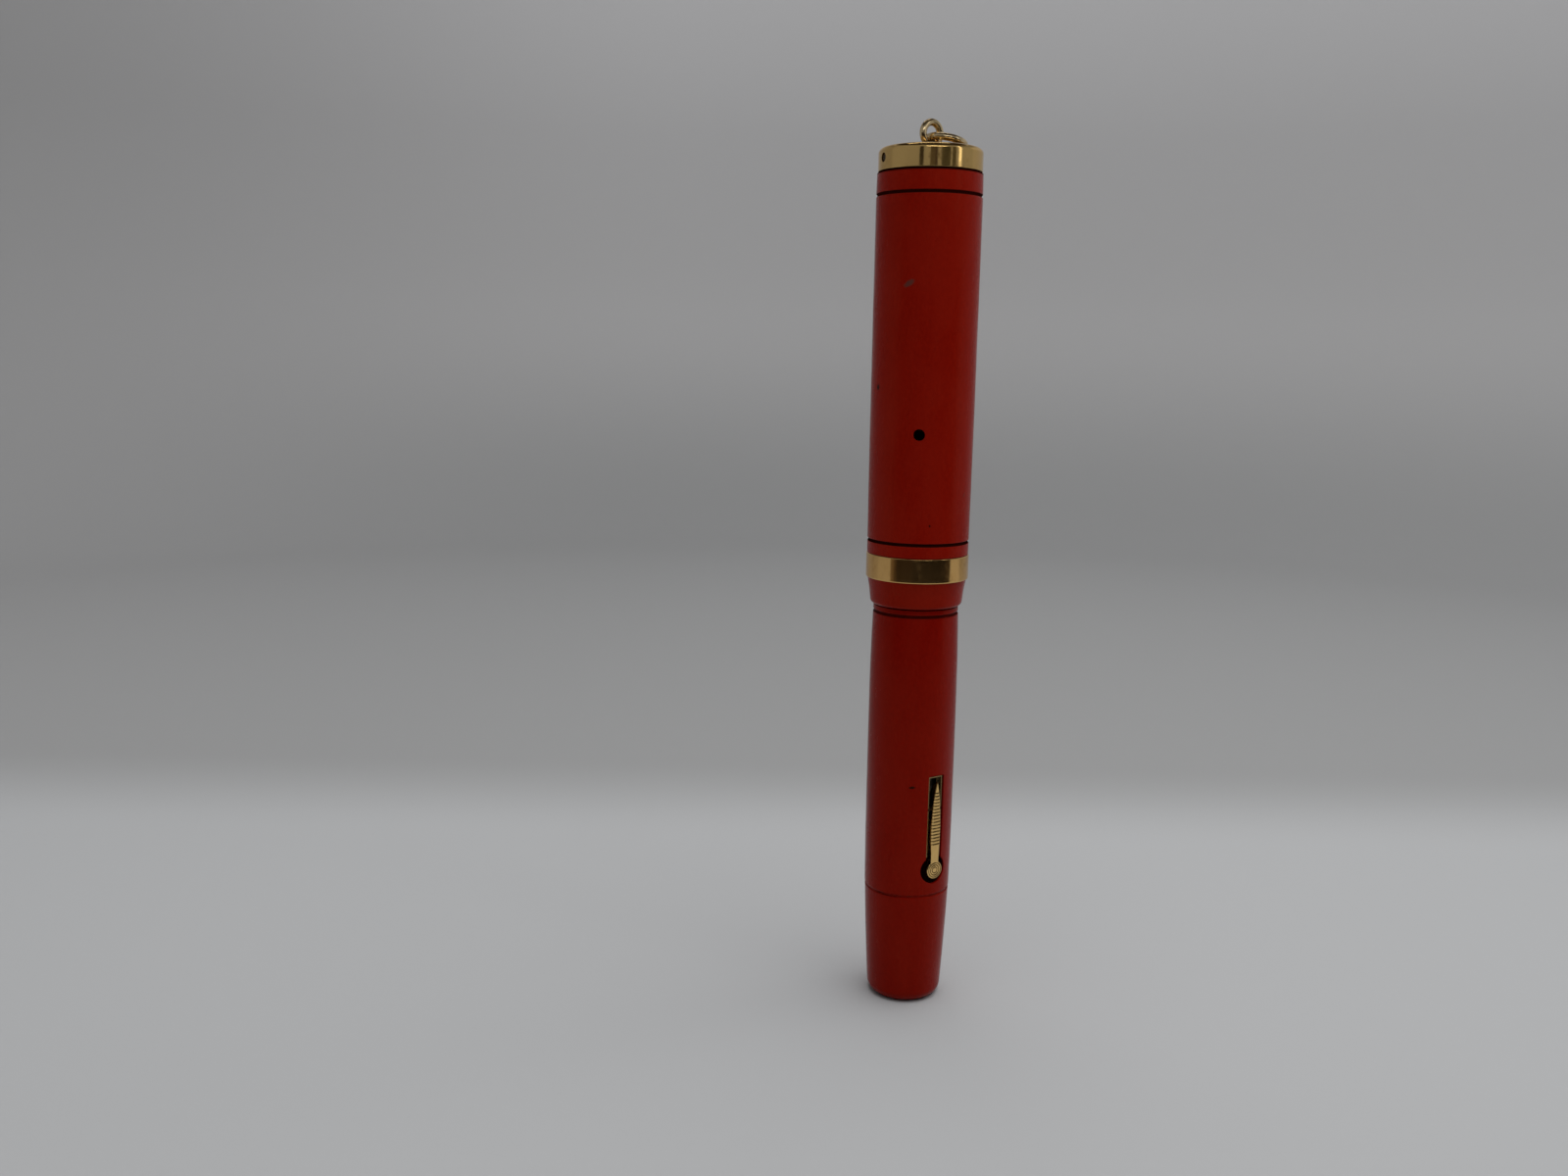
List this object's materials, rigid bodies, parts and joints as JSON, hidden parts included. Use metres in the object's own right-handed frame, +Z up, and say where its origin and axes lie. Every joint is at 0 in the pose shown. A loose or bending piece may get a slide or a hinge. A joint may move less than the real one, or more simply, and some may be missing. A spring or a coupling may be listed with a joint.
{
  "type": "ring-top lever-filling fountain pen",
  "caption": "Slim capped fountain pen standing on its barrel end: screw cap with vent hole and gold band, gold crown with chain loop and ring, and a side filling lever.",
  "frame": {"origin": "centre of the flat end of the barrel, which the pen stands on", "axes": "+Z up the pen's axis to the chain loop; -Y is the side with the filling lever; the jump ring lies towards +X"},
  "size_m": [0.0128, 0.0128, 0.1105],
  "materials": {
    "red_rubber": "polished vermilion hard rubber with black-filled turned rings",
    "black_rubber": "polished black hard rubber",
    "gold_filled": "polished gold-filled brass",
    "nib_gold": "polished gold",
    "tipping": "ground hard tipping metal",
    "steel": "plain steel",
    "sac_rubber": "dull soft rubber"
  },
  "bodies": {
    "barrel": {"barrel": "red_rubber", "lever_box": "gold_filled", "lever_pin": "steel", "bar_spring": "steel", "ink_sac": "sac_rubber", "section": "black_rubber", "feed": "black_rubber", "nib": "nib_gold", "nib_tip": "tipping"},
    "lever": {"lever": "gold_filled"},
    "pressure_bar": {"pressure_bar": "steel"},
    "loop_washer": {"loop_washer": "steel"},
    "inner_cap": {"inner_cap": "black_rubber"},
    "cap": {"cap_tube": "red_rubber", "cap_band": "gold_filled", "crown_cap": "gold_filled", "crown_pin": "steel", "loop_collar": "gold_filled", "ring_loop": "gold_filled"},
    "jump_ring": {"jump_ring": "gold_filled"}
  },
  "joints": [
    {"name": "cap_pull", "type": "slide", "parent": "barrel", "child": "loop_washer", "axis": [0, 0, 1], "range_m": [0, 0.048]},
    {"name": "cap_rise", "type": "slide", "parent": "loop_washer", "child": "inner_cap", "axis": [0, 0, 1], "range_m": [0, 0.003]},
    {"name": "cap_unscrew", "type": "hinge", "parent": "inner_cap", "child": "cap", "pos_m": [0, 0, 0.0555], "axis": [0, 0, 1], "range_deg": [0, 540]},
    {"name": "jump_ring_swing", "type": "hinge", "parent": "cap", "child": "jump_ring", "pos_m": [0, 0, 0.10848], "axis": [0, -1, 0], "range_deg": [0, 203.1]},
    {"name": "lever_lift", "type": "hinge", "parent": "barrel", "child": "lever", "pos_m": [0, -0.0049, 0.0262], "axis": [-1, 0, 0], "range_deg": [0, 90]},
    {"name": "pressure_bar_press", "type": "slide", "parent": "barrel", "child": "pressure_bar", "axis": [0, 1, 0], "range_m": [0, 0.0036], "deforming": ["ink_sac", "bar_spring"]}
  ],
  "couplings": [
    {"joint": "cap_unscrew", "follows": "cap_rise", "rad_per_m": 3141.6},
    {"joint": "lever_lift", "follows": "pressure_bar_press", "rad_per_m": 436.33}
  ]
}
